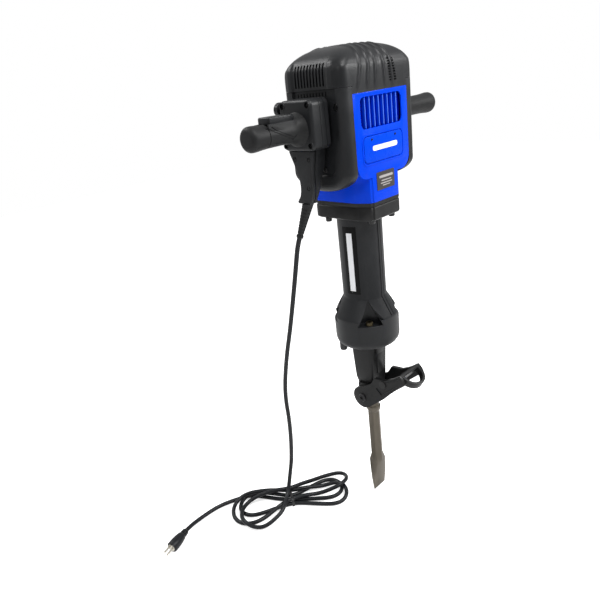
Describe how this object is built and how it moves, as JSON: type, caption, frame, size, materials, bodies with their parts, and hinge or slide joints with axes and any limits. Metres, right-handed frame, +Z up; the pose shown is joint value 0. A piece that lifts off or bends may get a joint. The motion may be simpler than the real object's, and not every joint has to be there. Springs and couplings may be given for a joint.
{
  "type": "electric jackhammer",
  "caption": "Upright electric demolition hammer with T-handles, ribbed motor head, bolted barrel, hinged tool latch, flat chisel and a tied mains cord with plug.",
  "frame": {"origin": "on the tool's long axis, at the height of the two handles' common axis", "axes": "+X along the handles towards the plain handle, -Y towards the grille and nameplate side, +Z up along the tool axis away from the chisel"},
  "size_m": [0.8504, 0.47, 1.153],
  "materials": {
    "blue_shell": "glossy painted shell",
    "blue_badge": "glossy raised plate",
    "black_plastic": "fine grained black plastic",
    "rubber": "soft black rubber",
    "cord_rubber": "smooth black cord jacket",
    "cast_black": "black coated casting",
    "steel": "machined steel",
    "bit_steel": "dark forged steel",
    "copper": "copper winding and commutator",
    "bolt_black": "black oxide screws",
    "bolt_brassy": "dark yellow plated bolts",
    "label_grey": "dark grey label",
    "nickel": "nickel plated pins"
  },
  "bodies": {
    "housing": {"motor_housing": "blue_shell", "front_badge": "blue_badge", "rating_plate": "label_grey", "top_cover": "black_plastic", "side_cover_left": "black_plastic", "side_cover_right": "black_plastic", "flange_ring": "cast_black", "flange_bolt_1": "bolt_black", "flange_bolt_2": "bolt_black", "flange_bolt_3": "bolt_black", "flange_bolt_4": "bolt_black", "barrel_shell_left": "black_plastic", "barrel_shell_right": "black_plastic", "nose_casting": "cast_black", "nose_bolt_1": "bolt_brassy", "nose_bolt_2": "bolt_brassy", "nose_bolt_3": "bolt_brassy", "nose_bolt_4": "bolt_brassy", "cylinder_tube": "steel", "front_head": "cast_black", "stator": "steel", "armature_bearing_left": "steel", "armature_bearing_right": "steel", "crank_bearing": "steel", "gear_bracket": "steel", "brush_holder_front": "copper", "brush_holder_rear": "copper", "switch_box_base": "black_plastic", "switch_box_cover": "black_plastic", "switch_module": "black_plastic", "cord_housing_outer": "black_plastic", "cord_housing_inner": "black_plastic", "handle_core_left": "steel", "grip_left": "rubber", "handle_bracket_right": "black_plastic", "handle_core_right": "steel", "grip_right": "rubber", "latch_bolt_left": "bolt_black", "latch_bolt_right": "bolt_black", "strain_relief": "rubber", "cord_drop": "cord_rubber", "cord_tail": "cord_rubber", "cord_hank": "cord_rubber", "hank_tie": "bolt_black", "plug_body": "cord_rubber", "plug_prongs": "nickel"},
    "chisel": {"chisel": "bit_steel"},
    "latch": {"retainer_latch": "cast_black"},
    "ram": {"striker": "steel"},
    "impact": {"impact_bolt": "steel"},
    "piston": {"piston": "steel"},
    "rod": {"connecting_rod": "steel"},
    "crank": {"crank_shaft": "steel"},
    "gear": {"intermediate_gear": "steel"},
    "rotor": {"armature": "copper", "cooling_fan": "black_plastic"},
    "trigger": {"trigger": "black_plastic"},
    "lock_button": {"lock_button": "black_plastic"}
  },
  "joints": [
    {"name": "bit_slide", "type": "slide", "parent": "housing", "child": "chisel", "axis": [0, 0, 1], "range_m": [0, 0.017]},
    {"name": "latch_hinge", "type": "hinge", "parent": "housing", "child": "latch", "pos_m": [0, 0, -0.691], "axis": [1, 0, 0], "range_deg": [0, 90]},
    {"name": "crank_spin", "type": "hinge", "parent": "housing", "child": "crank", "pos_m": [0, 0, -0.0042], "axis": [1, 0, 0], "continuous": true},
    {"name": "rod_pivot", "type": "hinge", "parent": "crank", "child": "rod", "pos_m": [0, 0, -0.0162], "axis": [1, 0, 0], "continuous": true},
    {"name": "gear_spin", "type": "hinge", "parent": "housing", "child": "gear", "pos_m": [0, 0, 0.0494], "axis": [1, 0, 0], "continuous": true},
    {"name": "rotor_spin", "type": "hinge", "parent": "housing", "child": "rotor", "pos_m": [0, 0, 0.092], "axis": [1, 0, 0], "continuous": true},
    {"name": "piston_slide", "type": "slide", "parent": "housing", "child": "piston", "axis": [0, 0, 1], "range_m": [0, 0.024]},
    {"name": "ram_slide", "type": "slide", "parent": "housing", "child": "ram", "axis": [0, 0, 1], "range_m": [0, 0.08]},
    {"name": "impact_slide", "type": "slide", "parent": "housing", "child": "impact", "axis": [0, 0, 1], "range_m": [0, 0.01]},
    {"name": "trigger_press", "type": "hinge", "parent": "housing", "child": "trigger", "pos_m": [-0.196, 0, 0.0215], "axis": [0, -1, 0], "range_deg": [0, 4.5], "stiffness_Nm_per_rad": 1.2, "springref_deg": -5.73},
    {"name": "lock_button_press", "type": "slide", "parent": "housing", "child": "lock_button", "axis": [0, -1, 0], "range_m": [0, 0.004], "stiffness_N_per_m": 250, "springref_m": -0.004}
  ],
  "couplings": [
    {"joint": "rod_pivot", "follows": "crank_spin", "ratio": -1},
    {"joint": "gear_spin", "follows": "crank_spin", "ratio": -3.8},
    {"joint": "rotor_spin", "follows": "crank_spin", "ratio": 16.15}
  ]
}
